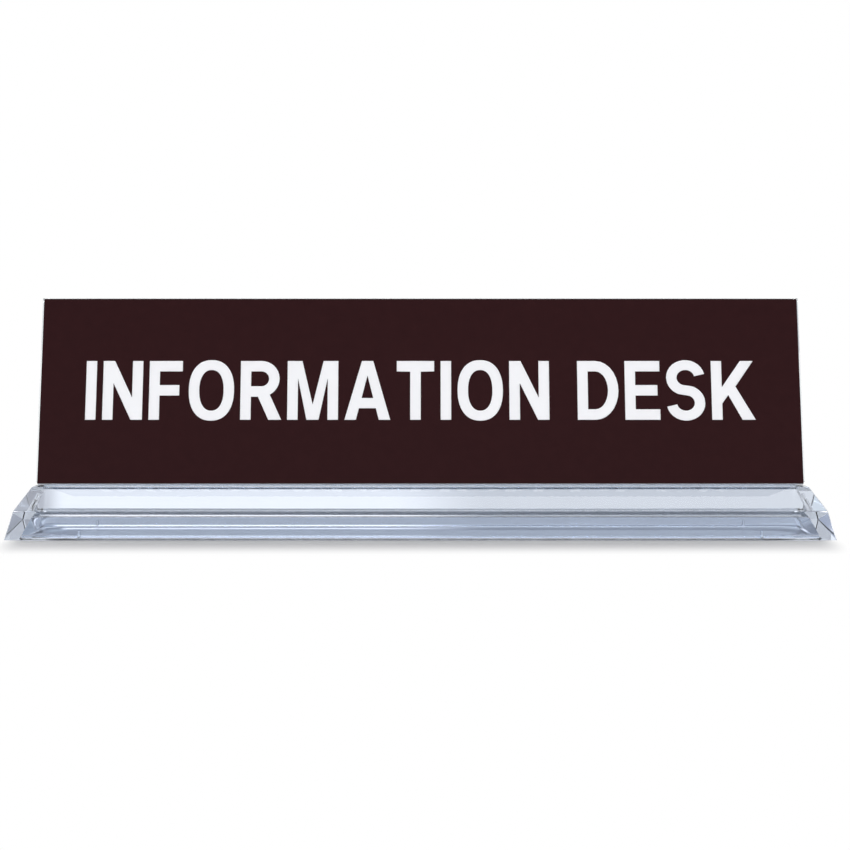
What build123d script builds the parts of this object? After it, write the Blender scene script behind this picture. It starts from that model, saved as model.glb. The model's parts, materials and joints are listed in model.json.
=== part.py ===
"""Desk name plate: a two-ply plate taped to a clear panel that stands in a clear hollow base.

Millimetres, +Z up, X along the plate, the front towards -Y. The origin is the middle of the footprint.
"""
import os
from math import cos, radians, sin

from build123d import *

# Plate: a thin dark ply on a white core, sawn flush, with the ply's front edges just broken
plate_length = 203.2
plate_height = 50.8
core_thickness = 1.45
cap_thickness = 0.15
face_break = 0.05

# Mounting tape behind the plate, one strip along its top and one along its bottom
tape_width = 12.7
tape_thickness = 0.8
tape_edge_inset = 6.35
tape_end_inset = 6.35

# Panel: a clear sheet a little larger than the plate, leaning back, with a tongue below
lean = 15.5
panel_thickness = 3.0
panel_margin = 0.9
panel_shoulder = 2.4
tongue_depth = 3.0

# Base: flared lower faces up to a sharp edge, sloped faces above it, a flat top
base_depth = 34.1
base_height = 13.0
edge_height = 7.4
edge_flare = 2.05
end_slope_run = 3.2
top_depth = 12.5
top_end_margin = 0.2
edge_round = 0.4
side_wall = 2.5
end_wall = 3.8
end_draft = 0.5
hollow_height = 5.5
rim_round = 1.1

# Slot for the tongue, small pips inside the long walls, and the clearances between the pieces
slot_forward = 1.0
slot_clearance = 0.1
pip_width = 0.6
pip_height = 1.5
pip_reach = 1.2
pip_lift = 0.4
pip_end_distance = 19.0
plate_gap = 0.3
shoulder_gap = 0.2

# Sizes that follow from those above
panel_length = plate_length + 2 * panel_margin
tongue_length = panel_length - 2 * panel_shoulder
tape_length = plate_length - 2 * tape_end_inset
top_length = panel_length + 2 * top_end_margin
edge_length = top_length + 2 * end_slope_run
base_length = edge_length + 2 * edge_flare
edge_depth = base_depth - 2 * edge_flare
inner_depth = base_depth - 2 * side_wall

# The panel's mid-plane: local Y runs up the panel, local Z out of its front
tilt = radians(lean)
panel_plane = Plane(
    origin=(0, -slot_forward, base_height),
    x_dir=(1, 0, 0),
    z_dir=(0, -cos(tilt), sin(tilt)),
)
panel_front = panel_thickness / 2
core_back = panel_front + tape_thickness
core_front = core_back + core_thickness

# Heights up the panel, from where its mid-plane meets the base's top
plate_bottom = (plate_gap - core_back * sin(tilt)) / cos(tilt)
plate_middle = plate_bottom + plate_height / 2
panel_bottom = (shoulder_gap + panel_front * sin(tilt)) / cos(tilt)
panel_top = plate_bottom + plate_height + panel_margin


def stepped_outline(bottom, edge, top, edge_z, top_z):
    """Corners of a symmetrical outline: widths at the bottom, at the edge and at the top."""
    left_side = [(-bottom / 2, 0), (-edge / 2, edge_z), (-top / 2, top_z)]
    right_side = [(-x, z) for x, z in reversed(left_side)]
    return left_side + right_side


# Outside of the base: the outline seen from the end, cut by the outline seen from the front
with BuildPart() as envelope:
    with BuildSketch(Plane.YZ):
        Polygon(stepped_outline(base_depth, edge_depth, top_depth, edge_height, base_height), align=None)
    extrude(amount=base_length, both=True)
    with BuildSketch(Plane.XZ):
        Polygon(stepped_outline(base_length, edge_length, top_length, edge_height, base_height), align=None)
    extrude(amount=base_depth, both=True, mode=Mode.INTERSECT)
    outer_edges = envelope.edges().filter_by(lambda edge: edge.center().Z > edge_round)
    fillet(outer_edges, radius=edge_round)

# Hollow under the base: long walls as steep as the outside, ends that lean in further, a flat roof
hollow_length = base_length - 2 * end_wall
roof_length = hollow_length - 2 * end_draft * hollow_height
roof_depth = inner_depth - 2 * edge_flare * hollow_height / edge_height


def hollow_outline(bottom, top):
    """Corners of a symmetrical outline of the hollow: widths at the bottom and at the roof."""
    return [(-bottom / 2, 0), (bottom / 2, 0), (top / 2, hollow_height), (-top / 2, hollow_height)]


with BuildPart() as hollow:
    with BuildSketch(Plane.YZ):
        Polygon(hollow_outline(inner_depth, roof_depth), align=None)
    extrude(amount=base_length, both=True)
    with BuildSketch(Plane.XZ):
        Polygon(hollow_outline(hollow_length, roof_length), align=None)
    extrude(amount=base_depth, both=True, mode=Mode.INTERSECT)

# Base moulding: hollow, its rim rounded inside, with a pip near each corner and the leaning slot
slot_length = tongue_length + 2 * slot_clearance
pip_spacing = base_length - 2 * pip_end_distance
with BuildPart() as base_shell:
    add(envelope.part)
    add(hollow.part, mode=Mode.SUBTRACT)
    rim_edges = base_shell.faces().sort_by(Axis.Z)[0].inner_wires()[0].edges()
    fillet(rim_edges, radius=rim_round)
    with BuildSketch(Plane.XY.offset(pip_lift)):
        with GridLocations(pip_spacing, inner_depth, 2, 2):
            Rectangle(pip_width, 2 * pip_reach)
    extrude(amount=pip_height)
    with BuildSketch(panel_plane):
        with Locations((0, -tongue_depth)):
            Rectangle(slot_length, tongue_depth + base_height, align=(Align.CENTER, Align.MIN))
    extrude(amount=panel_front + slot_clearance, both=True, mode=Mode.SUBTRACT)
base_shell.part.label = "base_shell"

# Clear panel: a square-cut sheet whose tongue stands on the slot's floor
with BuildPart() as back_panel:
    with BuildSketch(panel_plane):
        with Locations((0, panel_bottom)):
            Rectangle(panel_length, panel_top - panel_bottom, align=(Align.CENTER, Align.MIN))
        with Locations((0, -tongue_depth)):
            Rectangle(tongue_length, tongue_depth + panel_top, align=(Align.CENTER, Align.MIN))
    extrude(amount=panel_front, both=True)
back_panel.part.label = "back_panel"


def tape_strip(height_up_panel):
    """One strip of tape on the panel's front, with its middle at this height up the panel."""
    with BuildPart() as strip:
        with BuildSketch(panel_plane.offset(panel_front)):
            with Locations((0, height_up_panel)):
                Rectangle(tape_length, tape_width)
        extrude(amount=tape_thickness)
    return strip


tape_offset = plate_height / 2 - tape_edge_inset - tape_width / 2
tape_upper = tape_strip(plate_middle + tape_offset)
tape_upper.part.label = "tape_upper"
tape_lower = tape_strip(plate_middle - tape_offset)
tape_lower.part.label = "tape_lower"

# White core of the plate
with BuildPart() as plate_core:
    with BuildSketch(panel_plane.offset(core_back)):
        with Locations((0, plate_middle)):
            Rectangle(plate_length, plate_height)
    extrude(amount=core_thickness)
plate_core.part.label = "plate_core"

# Dark ply on the core, flush with it all round
with BuildPart() as plate_face:
    with BuildSketch(panel_plane.offset(core_front)):
        with Locations((0, plate_middle)):
            Rectangle(plate_length, plate_height)
    extrude(amount=cap_thickness)
    front_edges = plate_face.faces().sort_by(Axis(panel_plane.origin, panel_plane.z_dir))[-1].edges()
    chamfer(front_edges, length=face_break)
plate_face.part.label = "plate_face"

os.makedirs("parts", exist_ok=True)
for piece in (base_shell, back_panel, tape_upper, tape_lower, plate_core, plate_face):
    export_step(piece.part, f"parts/{piece.part.label}.step")
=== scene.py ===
"""Desk name plate: an engraved two-ply plate taped to a clear panel that stands in a clear moulded base."""
import json
import math

import bmesh
import bpy
from mathutils import Matrix, Vector


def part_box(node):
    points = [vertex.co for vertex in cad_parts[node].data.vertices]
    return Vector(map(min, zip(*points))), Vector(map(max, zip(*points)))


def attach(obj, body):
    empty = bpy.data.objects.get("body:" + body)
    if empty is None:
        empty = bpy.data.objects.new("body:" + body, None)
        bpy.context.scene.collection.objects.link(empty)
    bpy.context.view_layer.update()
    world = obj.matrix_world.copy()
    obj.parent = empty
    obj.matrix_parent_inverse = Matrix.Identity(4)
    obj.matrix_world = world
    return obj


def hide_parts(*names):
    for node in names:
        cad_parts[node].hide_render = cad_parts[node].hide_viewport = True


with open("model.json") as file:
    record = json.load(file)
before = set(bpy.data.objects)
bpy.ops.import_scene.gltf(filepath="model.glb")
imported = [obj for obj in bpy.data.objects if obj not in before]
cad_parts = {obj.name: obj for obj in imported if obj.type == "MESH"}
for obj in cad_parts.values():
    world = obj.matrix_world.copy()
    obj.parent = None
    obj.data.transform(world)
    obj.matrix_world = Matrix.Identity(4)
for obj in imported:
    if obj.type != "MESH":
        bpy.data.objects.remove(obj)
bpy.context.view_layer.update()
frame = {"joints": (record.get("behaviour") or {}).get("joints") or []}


# Base: one moulding in clear styrene, hollow and open underneath, with flared walls up to a sharp
# edge and slopes above it. A leaning slot in its thick top takes the panel's tongue, and a small pip
# stands inside each long wall near its ends, where the moulding was pushed off its core.
mm = 0.001
half_length, half_depth, base_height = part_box("base_shell")[1] / mm
edge_height = 7.4
edge_flare = 2.05
end_slope_run = 3.2
half_top_depth = 6.25
side_wall = 2.5
end_wall = 3.8
hollow_height = 5.5
end_draft = 0.5
rim_round = 1.1
rim_steps = 8
outer_round = 0.3
inner_round = 0.3
round_segments = 4
sharp_angle = 30
level_slack = 0.01
overcut = 1.0
slot_forward = 1.0
slot_half_length = 100.2
slot_half_width = 1.6
tongue_depth = 3.0
pip_width = 0.6
pip_height = 1.5
pip_reach = 1.2
pip_lift = 0.4
pip_end_distance = 19.0

clear_index = 1.49
styrene_tint = (0.74, 0.80, 0.90, 1.0)
styrene_flow = (0.3, 1, 1)
styrene_wave = 0.05
styrene_wave_depth = 0.00005
haze_size = 0.012
haze_range = (0.45, 0.8)
haze_dulling = 0.97
scuff_size = 0.0006
scuff_flow = (1, 0.25, 1)
scuff_range = (0.6, 0.75)
polished, hazed, scuffed = 0.006, 0.02, 0.03

# The panel's own frame: X along the plate, Y up the panel, Z out of its front, in millimetres
panel_up = Vector(frame["joints"][0]["axis"])
panel_out = Vector((0, -panel_up.z, panel_up.y))
panel_foot = Vector((0, -slot_forward, base_height)) * mm
panel_frame = Matrix.Translation(panel_foot) @ Matrix(
    ((mm, 0, 0), (0, panel_up.y * mm, panel_out.y * mm), (0, panel_up.z * mm, panel_out.z * mm))
).to_4x4()
base_frame = Matrix.Scale(mm, 4)


def new_piece(name, shape):
    """Turns a bmesh in millimetres into an object in the scene."""
    bmesh.ops.recalc_face_normals(shape, faces=shape.faces)
    mesh = bpy.data.meshes.new(name)
    shape.to_mesh(mesh)
    shape.free()
    piece = bpy.data.objects.new(name, mesh)
    bpy.context.scene.collection.objects.link(piece)
    return piece


def stack(rings):
    """A closed solid through outlines that lie one above the other, each with as many points."""
    shape = bmesh.new()
    layers = [[shape.verts.new(point) for point in ring] for ring in rings]
    for lower, upper in zip(layers, layers[1:]):
        for i in range(len(lower)):
            j = (i + 1) % len(lower)
            shape.faces.new((lower[i], lower[j], upper[j], upper[i]))
    shape.faces.new(layers[0][::-1])
    shape.faces.new(layers[-1])
    return shape


def rectangle(half_x, half_y, z, middle=(0, 0)):
    """Four corners at one height."""
    signs = ((-1, -1), (1, -1), (1, 1), (-1, 1))
    return [(middle[0] + sx * half_x, middle[1] + sy * half_y, z) for sx, sy in signs]


def round_off(shape, radius, chosen):
    """Rounds the chosen edges of a solid."""
    edges = [edge for edge in shape.edges if chosen(edge)]
    bmesh.ops.bevel(
        shape,
        geom=edges,
        offset=radius,
        segments=round_segments,
        profile=0.5,
        affect="EDGES",
        clamp_overlap=True,
    )
    return shape


def carve(piece, tool, operation):
    """Joins a tool to a piece or cuts it away, and drops the tool."""
    change = piece.modifiers.new(operation, "BOOLEAN")
    change.operation = operation
    change.solver = "EXACT"
    change.object = tool
    graph = bpy.context.evaluated_depsgraph_get()
    settled = bpy.data.meshes.new_from_object(piece.evaluated_get(graph))
    piece.modifiers.clear()
    spent = piece.data, tool.data
    piece.data = settled
    bpy.data.objects.remove(tool)
    for mesh in spent:
        bpy.data.meshes.remove(mesh)


def finish_mesh(piece, name, place):
    """Moves a piece from its own frame to the object's and shades its rounds smooth and its flats flat."""
    piece.data.name = name
    piece.data.transform(place)
    piece.data.shade_smooth()
    piece.data.set_sharp_from_angle(angle=math.radians(sharp_angle))
    even = piece.modifiers.new("even_flats", "WEIGHTED_NORMAL")
    even.keep_sharp = True
    even.weight = 100


edge_half_length = half_length - edge_flare
edge_half_depth = half_depth - edge_flare
top_half_length = edge_half_length - end_slope_run
side_draft = edge_flare / edge_height


def inner_reach(foot, draft, height):
    """How far out the hollow reaches at one height: a rounded rim, then a wall that leans inwards."""
    lean = math.atan(draft)
    tangent = rim_round / math.tan(math.pi / 4 + lean / 2)
    if height > tangent * math.cos(lean):
        return foot - draft * height
    return foot + tangent - math.sqrt(rim_round ** 2 - (rim_round - max(height, 0)) ** 2)


def hollow_ring(height):
    """The hollow's outline at one height."""
    reaches = [inner_reach(foot, draft, height) for foot, draft in hollow_feet]
    return rectangle(*reaches, height)


def climbing_or_above(level):
    """A test for the edges that climb, and for the level ones above this height."""
    def chosen(edge):
        low, high = sorted(vertex.co.z for vertex in edge.verts)
        return high - low > level_slack or low > level + level_slack
    return chosen


hollow_feet = ((half_length - end_wall, end_draft), (half_depth - side_wall, side_draft))
rim_turns = [math.pi / 2 * i / rim_steps for i in range(rim_steps + 1)]
hollow_levels = [-overcut] + [rim_round * (1 - math.cos(turn)) for turn in rim_turns] + [hollow_height]
hollow = stack([hollow_ring(level) for level in hollow_levels])
round_off(hollow, inner_round, climbing_or_above(rim_round))
outside = stack([
    rectangle(half_length, half_depth, 0),
    rectangle(edge_half_length, edge_half_depth, edge_height),
    rectangle(top_half_length, half_top_depth, base_height),
])
round_off(outside, outer_round, climbing_or_above(0))
base = new_piece("base_shell_clear", outside)
carve(base, new_piece("hollow", hollow), "DIFFERENCE")

to_panel = base_frame.inverted() @ panel_frame


def panel_block(half_x, low, high, half_out):
    """A block on the panel's mid-plane, in the base's millimetres."""
    half_up, middle = (high - low) / 2, (0, (low + high) / 2)
    shape = stack([rectangle(half_x, half_up, out, middle) for out in (-half_out, half_out)])
    shape.transform(to_panel)
    return shape


for side in (-1, 1):
    for end in (-1, 1):
        pip_middle = (end * (half_length - pip_end_distance), side * (half_depth - side_wall))
        pip_levels = (pip_lift, pip_lift + pip_height)
        pip = stack([rectangle(pip_width / 2, pip_reach, z, pip_middle) for z in pip_levels])
        carve(base, new_piece("pip", pip), "UNION")
carve(
    base,
    new_piece("slot", panel_block(slot_half_length, -tongue_depth, base_height, slot_half_width)),
    "DIFFERENCE",
)
finish_mesh(base, "base_shell_clear", base_frame)


class Signal:
    """One shader socket. Sums on it in Python become Math nodes in its tree."""

    def __init__(self, tree, socket=None):
        self.tree = tree
        self.socket = socket

    def node(self, kind, settings, sockets, output=0):
        """Adds a node: its settings first, then the values or links of its sockets."""
        made = self.tree.nodes.new(f"ShaderNode{kind}")
        for name, value in settings.items():
            setattr(made, name, value)
        for name, value in sockets.items():
            if isinstance(value, Signal):
                self.tree.links.new(value.socket, made.inputs[name])
            else:
                made.inputs[name].default_value = value
        return Signal(self.tree, made.outputs[output] if made.outputs else None)

    def maths(self, operation, first, second):
        return self.node("Math", {"operation": operation}, {0: first, 1: second})

    def __add__(self, other):
        return self.maths("ADD", self, other)

    def __sub__(self, other):
        return self.maths("SUBTRACT", self, other)

    def __rsub__(self, other):
        return self.maths("SUBTRACT", other, self)

    def __mul__(self, other):
        return self.maths("MULTIPLY", self, other)

    def __truediv__(self, other):
        return self.maths("DIVIDE", self, other)

    def __pow__(self, power):
        return self.maths("POWER", self, power)

    def __abs__(self):
        return self.maths("ABSOLUTE", self, 0)

    __radd__ = __add__
    __rmul__ = __mul__

    def above(self, level):
        """How far this value lies above a level, and 0 below it."""
        return self.maths("MAXIMUM", self - level, 0)

    def mix(self, low, high):
        """The colour that goes from low to high as this value goes from 0 to 1."""
        return self.node("Mix", {"data_type": "RGBA"}, {0: self, 6: low, 7: high}, 2)

    def ease(self, start, end):
        """0 up to start, 1 from end on, and a smooth step between them."""
        sockets = {"Value": self, "From Min": start, "From Max": end}
        return self.node("MapRange", {"interpolation_type": "SMOOTHSTEP"}, sockets)

    def parts(self, axes):
        """This vector's values along the named axes."""
        return [self.node("SeparateXYZ", {}, {0: self}, axis) for axis in axes]

    def stretched(self, along):
        """This vector with each axis multiplied by its own number."""
        return self.node("VectorMath", {"operation": "MULTIPLY"}, {0: self, 1: along})

    def noise(self, size, detail=2.0):
        """Soft noise on this vector, from 0 to 1, with spots of about this size in metres."""
        return self.node("TexNoise", {}, {"Vector": self, "Scale": 1 / size, "Detail": detail})


def new_finish(name):
    """An empty node material, and the place on the piece that its nodes start from."""
    material = bpy.data.materials.new(name)
    material.use_nodes = True
    material.node_tree.nodes.clear()
    place = Signal(material.node_tree).node("TexCoord", {}, {}, "Object")
    return material, place


def close_finish(place, sockets, height, depth):
    """The surface shader of a finish, with a relief of this depth in metres."""
    relief = place.node("Bump", {}, {"Height": height, "Strength": 1.0, "Distance": depth})
    surface = place.node("BsdfPrincipled", {}, {"Normal": relief, **sockets})
    place.node("OutputMaterial", {}, {"Surface": surface})


def dress(piece, material, body, node):
    """Puts a finish on a piece, hangs the piece on its body and lets it stand for its CAD node."""
    piece.data.materials.clear()
    piece.data.materials.append(material)
    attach(piece, body)
    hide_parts(node)


def clear_finish(name, tint, flow, wave_size, wave_depth):
    """Clear plastic: slow waves along its flow, and a faint haze where it has been handled."""
    material, place = new_finish(name)
    waves = place.stretched(flow).noise(wave_size, detail=1.0)
    haze = place.noise(haze_size).ease(*haze_range)
    scuffs = place.stretched(scuff_flow).noise(scuff_size).ease(*scuff_range) * haze
    hazy_tint = [haze_dulling * part for part in tint[:3]] + [1]
    sockets = {
        "Base Color": haze.mix(tint, hazy_tint),
        "Roughness": polished + hazed * haze + scuffed * scuffs,
        "IOR": clear_index,
        "Transmission Weight": 1.0,
    }
    close_finish(place, sockets, waves, wave_depth)
    return material


dress(
    base,
    clear_finish("clear_styrene", styrene_tint, styrene_flow, styrene_wave, styrene_wave_depth),
    "base",
    "base_shell",
)


# Panel: a sheet of clear acrylic, a little larger than the plate, cut square with polished edges.
# Its tongue stands on the floor of the base's slot, and its shoulders end just above the base.
panel_half_thickness = 1.5
panel_half_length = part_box("back_panel")[1].x / mm
panel_shoulder = 2.4
shoulder_gap = 0.2
tongue_gap = 0.02
panel_margin = 0.9
tape_thickness = 0.8
plate_gap = 0.3
plate_height = 50.8
panel_round = 0.12
acrylic_tint = (0.955, 0.98, 0.99, 1.0)
acrylic_flow = (1, 1, 1)
acrylic_wave = 0.06
acrylic_wave_depth = 0.00002

core_back = panel_half_thickness + tape_thickness
plate_bottom = (plate_gap - core_back * panel_up.y) / panel_up.z
plate_middle = plate_bottom + plate_height / 2
panel_bottom = (shoulder_gap + panel_half_thickness * panel_up.y) / panel_up.z
panel_top = plate_bottom + plate_height + panel_margin
tongue_half_length = panel_half_length - panel_shoulder
half_outline = [
    (tongue_half_length, tongue_gap - tongue_depth),
    (tongue_half_length, panel_bottom),
    (panel_half_length, panel_bottom),
    (panel_half_length, panel_top),
]
outline = half_outline + [(-x, up) for x, up in reversed(half_outline)]
panel_faces = (-panel_half_thickness, panel_half_thickness)
panel_sheet = stack([[(x, up, out) for x, up in outline] for out in panel_faces])
panel = new_piece("back_panel_clear", round_off(panel_sheet, panel_round, lambda edge: True))
finish_mesh(panel, "back_panel_clear", panel_frame)
dress(
    panel,
    clear_finish("clear_acrylic", acrylic_tint, acrylic_flow, acrylic_wave, acrylic_wave_depth),
    "panel",
    "back_panel",
)


# Mounting tape: two strips of white foam with glue on both faces, cut from a roll with shears and
# pressed between the panel and the back of the plate, one along its top and one along its bottom.
tape_half_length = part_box("tape_upper")[1].x / mm
tape_half_width = 6.35
tape_bulge = 0.12
bulge_start, bulge_end = 0.3, 0.5
tape_steps = 48
tape_wander = 0.1
low_waves, high_waves = 9, 7
tape_bond = 0.02
tape_offset = 12.7
foam_pale = (0.80, 0.79, 0.76, 1.0)
foam_dull = (0.66, 0.65, 0.62, 1.0)
soil_size = 0.004
cells_per_metre = 2600.0
cell_depth = 0.00005
foam_rough, cell_rough = 0.75, 0.2


def tape_outline(inset, out, phase):
    """The strip's outline at one depth; its long edges wander a little."""
    steps = [-1 + 2 * i / tape_steps for i in range(tape_steps + 1)]
    reach, edge = tape_half_length - inset, tape_half_width - inset

    def wander(turn):
        return tape_wander * (1 + math.sin(turn)) / 2

    low = [(x * reach, wander(low_waves * x + phase) - edge, out) for x in steps]
    high = [(x * reach, edge - wander(high_waves * x - phase), out) for x in steps]
    return low + high[::-1]


def foam_finish():
    """Closed-cell foam: small cells, a slightly soiled cut and no gloss."""
    material, place = new_finish("foam_tape")
    cells = place.node("TexVoronoi", {}, {"Vector": place, "Scale": cells_per_metre})
    soil = place.noise(soil_size)
    sockets = {
        "Base Color": soil.mix(foam_pale, foam_dull),
        "Roughness": foam_rough + cell_rough * cells,
    }
    close_finish(place, sockets, cells, cell_depth)
    return material


foam = foam_finish()
tape_levels = [
    (tape_bulge, -tape_bond),
    (0, bulge_start),
    (0, bulge_end),
    (tape_bulge, tape_thickness),
]
for node, side in (("tape_upper", 1), ("tape_lower", -1)):
    rings = [tape_outline(inset, panel_half_thickness + depth, side) for inset, depth in tape_levels]
    strip = new_piece(f"{node}_foam", stack(rings))
    strip.data.transform(Matrix.Translation((0, plate_middle + side * tape_offset, 0)))
    finish_mesh(strip, f"{node}_foam", panel_frame)
    dress(strip, foam, "panel", node)


# Plate core: the thick white ply of the engraving stock, sawn to size together with its brown face.
# The cutter has gone a little way into it, so it shows white at the bottom of the letters.
plate_half_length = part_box("plate_core")[1].x / mm
core_thickness = 1.45
core_front = core_back + core_thickness
engraving_depth = 0.12
weld_distance = 0.001
core_white = (0.92, 0.92, 0.922, 1.0)
core_shade = (0.88, 0.88, 0.885, 1.0)
cloud_size = 0.02
swirl_size = 0.0004
swirl_flow = (1, 0.12, 0.12)
swirl_depth = 0.00001
core_rough, swirl_rough = 0.38, 0.2

# Letters: plain bold capitals on a cap height of 1, for a generic sign. Stems and bars are a little
# under a fifth of the height.
sign_words = "INFORMATION DESK"
cap_height = 16.2
letter_gap = 0.105
word_gap = 0.36
stem = 0.175
bar = 0.18
round_bar = 0.95 * bar
round_rise = 0.515
oval_power = 0.88
arc_steps = 14


def arc(x, y, reach, rise, start, end):
    """Points along part of an oval, with its angles in degrees."""
    angles = [math.radians(start + (end - start) * i / arc_steps) for i in range(arc_steps + 1)]
    return [(x + reach * math.cos(a), y + rise * math.sin(a)) for a in angles]


def oval(x, y, reach, rise):
    """A whole oval, fuller than an ellipse."""
    points = []
    for i in range(4 * arc_steps):
        turn = math.tau * i / (4 * arc_steps)
        wide, tall = math.cos(turn), math.sin(turn)
        wide = math.copysign(abs(wide) ** oval_power, wide)
        tall = math.copysign(abs(tall) ** oval_power, tall)
        points.append((x + reach * wide, y + rise * tall))
    return points


def upper_arms(width, arm, middle):
    """The outline of an F or an E from the foot of its middle arm, round both arms, to its top left."""
    short_arm = [(stem, middle), (arm, middle), (arm, middle + bar), (stem, middle + bar)]
    return short_arm + [(stem, 1 - bar), (width, 1 - bar), (width, 1), (0, 1)]


def letter_i():
    return stem, [[(0, 0), (stem, 0), (stem, 1), (0, 1)]]


def letter_n():
    width, foot, joint = 0.66, 0.19, 0.62
    half = [(0, 0), (stem, 0), (stem, joint), (width - foot, 0), (width, 0)]
    return width, [half + [(width - x, 1 - y) for x, y in half]]


def letter_f():
    width, arm, middle = 0.55, 0.5, 0.41
    return width, [[(0, 0), (stem, 0)] + upper_arms(width, arm, middle)]


def letter_o():
    width = 0.75
    half = width / 2
    inside = oval(half, 0.5, half - stem, round_rise - round_bar)
    return width, [oval(half, 0.5, half, round_rise), inside]


def letter_r():
    width, middle, bowl, reach = 0.67, 0.345, 0.695, 0.3
    joint, hip, heel, toe = 0.39, 0.29, 0.465, 0.68
    leg = [(0, 0), (stem, 0), (stem, joint), (hip, joint), (heel, 0), (toe, 0)]
    outside = arc(middle, bowl, reach, 1 - bowl, -62, 90)
    inside = arc(middle, bowl, reach - stem, 1 - bowl - bar, -90, 90)
    return width, [leg + outside + [(0, 1)], inside + [(stem, 1 - bar), (stem, 2 * bowl - 1 + bar)]]


def letter_m():
    width, joint, foot, shoulder, valley = 0.84, 0.7, 0.1, 0.245, 0.26
    middle = width / 2
    half = [(0, 1), (0, 0), (stem, 0), (stem, joint), (middle - foot, 0)]
    right = [(width - x, y) for x, y in reversed(half)]
    return width, [half + right + [(width - shoulder, 1), (middle, valley), (shoulder, 1)]]


def letter_a():
    width, foot, apex, low, high, point = 0.757, 0.19, 0.094, 0.195, 0.37, 0.75
    middle = width / 2
    lean = (middle - foot) / point
    left = [(middle - apex, 1), (0, 0), (foot, 0), (foot + lean * low, low)]
    right = [(width - x, y) for x, y in reversed(left)]
    counter = [(foot + lean * high, high), (width - foot - lean * high, high), (middle, point)]
    return width, [left + right, counter]


def letter_t():
    width, droop = 0.62, 0.004
    inner = (width - stem) / 2
    left = [(0, 1), (0, 1 - bar), (inner, 1 - bar - droop), (inner, 0)]
    return width, [left + [(width - x, y) for x, y in reversed(left)]]


def letter_d():
    width, turn = 0.68, 0.3
    reach = width - turn
    outside = [(0, 0)] + arc(turn, 0.5, reach, 0.5, -90, 90) + [(0, 1)]
    inside = [(stem, bar)] + arc(turn, 0.5, reach - stem, 0.5 - bar, -90, 90) + [(stem, 1 - bar)]
    return width, [outside, inside]


def letter_e():
    width, arm, middle = 0.58, 0.54, 0.41
    foot = [(0, 0), (width, 0), (width, bar), (stem, bar)]
    return width, [foot + upper_arms(width, arm, middle)]


def letter_s():
    width = 0.64
    half = width / 2
    bowl = (round_rise + round_bar / 2) / 2
    top, foot = 0.5 + round_rise - bowl, 0.5 - round_rise + bowl
    inner, rise = half - stem, bowl - round_bar
    outside = arc(half, top, half, bowl, 12, 180) + arc(half, top, half, bowl, 195, 250)
    inside = arc(half, foot, inner, rise, 70, 0) + arc(half, foot, inner, rise, -15, -170)
    upper = outside + inside
    return width, [upper + [(width - x, 1 - y) for x, y in upper]]


def letter_k():
    width, hip, elbow = 0.72, (0.275, 0.4185), (0.4, 0.565)
    low_joint, high_joint, heel, wrist, hand = 0.275, 0.555, 0.5, 0.485, 0.7
    leg = [(0, 0), (stem, 0), (stem, low_joint), hip, (heel, 0), (width, 0)]
    arm = [elbow, (hand, 1), (wrist, 1), (stem, high_joint), (stem, 1), (0, 1)]
    return width, [leg + arm]


letters = {
    "I": letter_i, "N": letter_n, "F": letter_f, "O": letter_o, "R": letter_r, "M": letter_m,
    "A": letter_a, "T": letter_t, "D": letter_d, "E": letter_e, "S": letter_s, "K": letter_k,
}


def set_words(words):
    """The outlines of a line of words in millimetres, centred on the plate."""
    outlines, x = [], 0.0
    for mark in words:
        if mark == " ":
            x += word_gap
            continue
        width, loops = letters[mark]()
        outlines += [[(x + px, py) for px, py in loop] for loop in loops]
        x += width + letter_gap
    middle = (x - letter_gap) / 2

    def on_plate(px, py):
        return (px - middle) * cap_height, plate_middle + (py - 0.5) * cap_height

    return [[on_plate(px, py) for px, py in loop] for loop in outlines]


def cutter_sweep(name, low, high):
    """The solid that the cutter sweeps for all the letters, between two depths."""
    curve = bpy.data.curves.new(name, "CURVE")
    curve.dimensions = "2D"
    curve.fill_mode = "BOTH"
    curve.extrude = (high - low) / 2
    for loop in set_words(sign_words):
        spline = curve.splines.new("POLY")
        spline.points.add(len(loop) - 1)
        for point, (x, up) in zip(spline.points, loop):
            point.co = (x, up, 0, 1)
        spline.use_cyclic_u = True
    drawn = bpy.data.objects.new(name, curve)
    mesh = bpy.data.meshes.new_from_object(drawn)
    bpy.data.objects.remove(drawn)
    bpy.data.curves.remove(curve)
    shape = bmesh.new()
    shape.from_mesh(mesh)
    bpy.data.meshes.remove(mesh)
    bmesh.ops.remove_doubles(shape, verts=shape.verts, dist=weld_distance)
    bmesh.ops.translate(shape, verts=shape.verts, vec=(0, 0, (low + high) / 2))
    return new_piece(name, shape)


def plate_ring(inset, out):
    """The plate's outline at one depth."""
    return rectangle(plate_half_length - inset, plate_height / 2 - inset, out, (0, plate_middle))


def core_finish():
    """White sheet plastic: satin, with fine swirls where the saw and the cutter have been."""
    material, place = new_finish("white_core")
    swirl = place.stretched(swirl_flow).noise(swirl_size)
    cloud = place.noise(cloud_size)
    sockets = {
        "Base Color": cloud.mix(core_white, core_shade),
        "Roughness": core_rough + swirl_rough * swirl,
    }
    close_finish(place, sockets, swirl, swirl_depth)
    return material


core = new_piece("plate_core_white", stack([plate_ring(0, out) for out in (core_back, core_front)]))
carve(core, cutter_sweep("core_cut", core_front - engraving_depth, core_front + overcut), "DIFFERENCE")
finish_mesh(core, "plate_core_white", panel_frame)
dress(core, core_finish(), "panel", "plate_core")


# Plate face: the thin brown ply bonded to the core at the mill, with a satin front. The letters are
# cut right through it, and its front edges are just broken.
cap_thickness = 0.15
face_break = 0.05
brown_deep = (0.0225, 0.0062, 0.0072, 1.0)
brown_warm = (0.0285, 0.0082, 0.0090, 1.0)
mottle_size = 0.003
mottle_detail = 4.0
grain_size = 0.00025
grain_depth = 0.000006
satin_rough, grain_rough = 0.42, 0.16
satin_shine = 0.05


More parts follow.
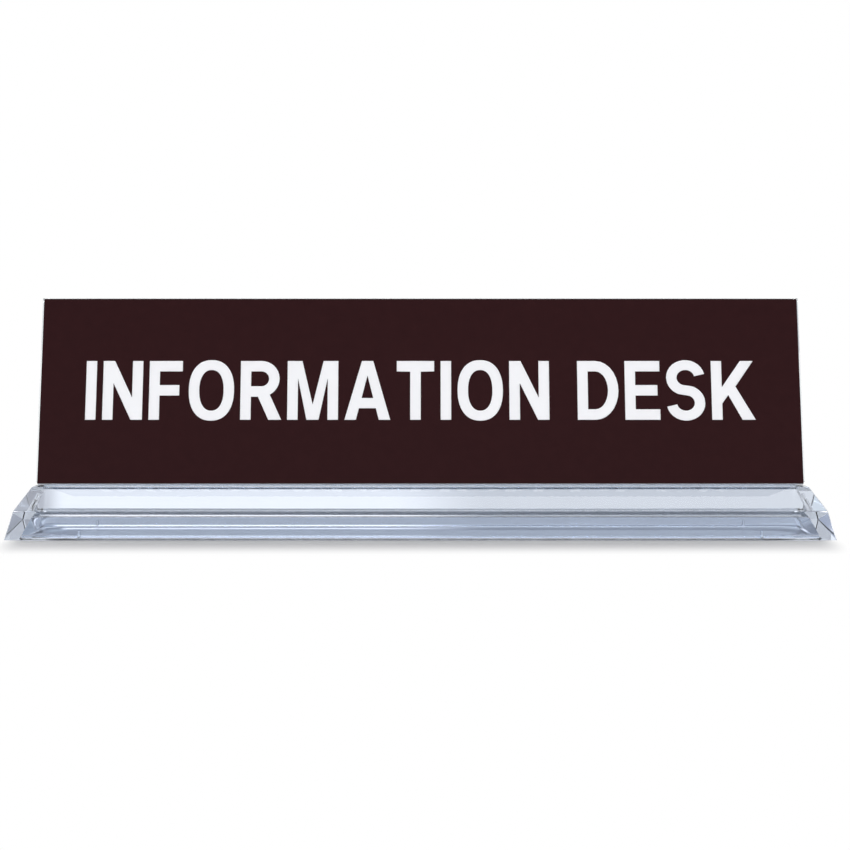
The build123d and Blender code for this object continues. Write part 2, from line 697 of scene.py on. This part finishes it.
def face_finish():
    """Satin brown: a fine pressed grain, and a faint cloudiness in the colour."""
    material, place = new_finish("brown_face")
    mottle = place.noise(mottle_size, mottle_detail)
    grain = place.noise(grain_size)
    sockets = {
        "Base Color": mottle.mix(brown_deep, brown_warm),
        "Roughness": satin_rough + grain_rough * grain,
        "Specular IOR Level": satin_shine,
    }
    close_finish(place, sockets, grain, grain_depth)
    return material


face_front = core_front + cap_thickness
face_levels = [(0, core_front), (0, face_front - face_break), (face_break, face_front)]
face = new_piece("plate_face_brown", stack([plate_ring(inset, out) for inset, out in face_levels]))
carve(face, cutter_sweep("face_cut", core_front - overcut, core_front + overcut), "DIFFERENCE")
finish_mesh(face, "plate_face_brown", panel_frame)
dress(face, face_finish(), "panel", "plate_face")


# Studio: a pale floor that fades to white, a thin glossy card under the base, and a painted room with
# bright and dark screens behind, a bright roof with a soft box in it, and a low broad light in front.
# The camera's own rays see plain white in the room's place, and clear plastic shows a share of each.
floor_reach = 4.0
floor_drop = 0.00005
floor_pale = (0.84, 0.84, 0.84, 1.0)
shade_side = 0.1
shade_front = 0.014
shade_back = 0.05
side_fade = 0.009
side_widening = 0.195
back_softness = 0.3
fade_start, fade_end = 0.010, 0.0355
backdrop_white = (1.0, 1.0, 1.0, 1.0)
card_inset = 0.8
card_drop = 0.00002
card_white = (0.9, 0.9, 0.9, 1.0)
card_rough = 0.03
card_wave = 0.03
card_wave_depth = 0.00001

# The room's colours: its screens from dark to bright, then its sides, its roof and the soft box
night = (0.04, 0.04, 0.09, 1.0)
dusk = (0.20, 0.21, 0.26, 1.0)
veil = (0.24, 0.29, 0.44, 1.0)
mist = (0.66, 0.74, 0.80, 1.0)
haze = (0.74, 0.75, 0.76, 1.0)
glow = (1.25, 1.25, 1.25, 1.0)
glare = (3.8, 3.5, 3.3, 1.0)
room_side = (0.20, 0.21, 0.27, 1.0)
roof_front = (0.42, 0.42, 0.42, 1.0)
roof_back = (2.2, 2.2, 2.2, 1.0)
box_bright = (2.2, 2.2, 2.2, 1.0)

# Where each part of the room begins and is whole, as parts of a direction of length 1
screens_from = (0.2, 0.6)
middle_seam = (-0.02, 0.04)
left_seam = (-0.205, -0.19)
right_seam = (0.25, 0.3)
roof_from = (0.6, 0.7)
roof_turn = (-0.3, 0.5)
box_low = (0.4, 0.6)
box_near, box_far = (0.2, 0.27), (0.44, 0.51)
box_left, box_right = (-0.21, -0.19), (0.24, 0.3)

screen_blur = 0.3
white_in_glass = 0.35
front_light_place = (0, -1.3, 0.035)
front_light_aim = (0, 0, 0.03)
front_light_size = (1.6, 0.05)
front_light_power = 12.3


def light_path(start, rays):
    """1 for the named kinds of ray, and 0 for the rest."""
    kinds = [start.node("LightPath", {}, {}, f"Is {ray} Ray") for ray in rays]
    return sum(kinds[1:], kinds[0]).ease(0, 1)


def flat_sheet(name, half_x, half_y, drop):
    """A level sheet just under the floor line, in metres, that belongs to the studio."""
    shape = bmesh.new()
    shape.faces.new([shape.verts.new(corner) for corner in rectangle(half_x, half_y, -drop)])
    sheet = new_piece(name, shape)
    return sheet


floor = flat_sheet("floor", floor_reach, floor_reach, floor_drop)
floor_material, floor_place = new_finish("pale_floor")
floor_across, floor_back = floor_place.parts("XY")
side_width = side_fade + side_widening * floor_back.above(-half_depth * mm)
beside = fade_end * abs(floor_across).above(shade_side) / side_width
before = (0 - floor_back).above(shade_front)
beyond = back_softness * floor_back.above(shade_back)
floor_distance = (beside ** 2 + (before + beyond) ** 2) ** 0.5
shown_to = light_path(floor_place, ("Camera", "Glossy", "Transmission"))
seen_white = floor_distance.ease(fade_start, fade_end) * shown_to
pale = floor_place.node("BsdfDiffuse", {}, {"Color": floor_pale})
white = floor_place.node("Emission", {}, {"Color": backdrop_white, "Strength": 1.0})
floor_mix = floor_place.node("MixShader", {}, {0: seen_white, 1: pale, 2: white})
floor_place.node("OutputMaterial", {}, {"Surface": floor_mix})
floor.data.materials.append(floor_material)

card = flat_sheet("card", (half_length - card_inset) * mm, (half_depth - card_inset) * mm, card_drop)
card_material, card_place = new_finish("glossy_card")
card_sockets = {"Base Color": card_white, "Roughness": card_rough}
close_finish(card_place, card_sockets, card_place.noise(card_wave), card_wave_depth)
card.data.materials.append(card_material)

world = bpy.data.worlds.new("studio")
bpy.context.scene.world = world
world.use_nodes = True
world.node_tree.nodes.clear()
room = Signal(world.node_tree).node("TexCoord", {}, {}, "Generated")
across, back, up = room.parts("XYZ")


def screen(colours, heights):
    """Colours one above the other, which change at these angles above the floor, in degrees."""
    shade = colours[0]
    for colour, height in zip(colours[1:], heights):
        low, high = (math.sin(math.radians(height + blur)) for blur in (-screen_blur, screen_blur))
        shade = up.ease(low, high).mix(shade, colour)
    return shade


far_left = screen((dusk, mist, night), (10, 19))
left = screen((glow, haze, veil, glare, night), (5.9, 7.6, 10.8, 24))
right = screen((haze, dusk, night, haze), (7.7, 10.8, 19))
far_right = screen((haze, dusk, haze), (7.7, 19))
left_half = across.ease(*left_seam).mix(far_left, left)
right_half = across.ease(*right_seam).mix(right, far_right)
screens = across.ease(*middle_seam).mix(left_half, right_half)
walls = back.ease(*screens_from).mix(room_side, screens)
roof = back.ease(*roof_turn).mix(roof_front, roof_back)
box_along = back.ease(*box_near) * (1 - back.ease(*box_far)) * up.ease(*box_low)
box_across = across.ease(*box_left) * (1 - across.ease(*box_right))
painted = (box_across * box_along).mix(up.ease(*roof_from).mix(walls, roof), box_bright)
in_glass = light_path(room, ("Glossy", "Transmission"))
shown_white = light_path(room, ("Camera",)) + white_in_glass * in_glass
shown = shown_white.mix(painted, backdrop_white)
background = room.node("Background", {}, {"Color": shown, "Strength": 1.0})
room.node("OutputWorld", {}, {"Surface": background})


def soft_box(name, place, aim, size, power):
    """A flat rectangular lamp that faces the point it is aimed at."""
    lamp = bpy.data.lights.new(name, "AREA")
    lamp.shape = "RECTANGLE"
    lamp.size, lamp.size_y = size
    lamp.energy = power
    holder = bpy.data.objects.new(name, lamp)
    holder.location = place
    holder.rotation_euler = (Vector(aim) - Vector(place)).to_track_quat("-Z", "Y").to_euler()
    bpy.context.scene.collection.objects.link(holder)


soft_box("front_light", front_light_place, front_light_aim, front_light_size, front_light_power)


# Camera: on the object's middle line and a little above level, where the photograph was taken from.
# Its distance, rise and focal length come from a fit to the corners of the plate and of the base.
picture_width = 850
aim_pixel = (420.4, 484.31)
focal_pixels = 1834.35
sensor_width = 36.0
camera_rise = math.radians(4.85)
camera_distance = 0.48647
aim_point = Vector((0, -4.7, 13.5)) * mm

lens = bpy.data.cameras.new("camera")
lens.sensor_width = sensor_width
lens.lens = focal_pixels / picture_width * sensor_width
lens.shift_x = 0.5 - aim_pixel[0] / picture_width
lens.shift_y = aim_pixel[1] / picture_width - 0.5
camera = bpy.data.objects.new("camera", lens)
toward_camera = Vector((0, -math.cos(camera_rise), math.sin(camera_rise)))
camera.location = aim_point + toward_camera * camera_distance
camera.rotation_euler = (-toward_camera).to_track_quat("-Z", "Y").to_euler()
bpy.context.scene.collection.objects.link(camera)
bpy.context.scene.camera = camera
bpy.context.scene.view_settings.view_transform = "Standard"
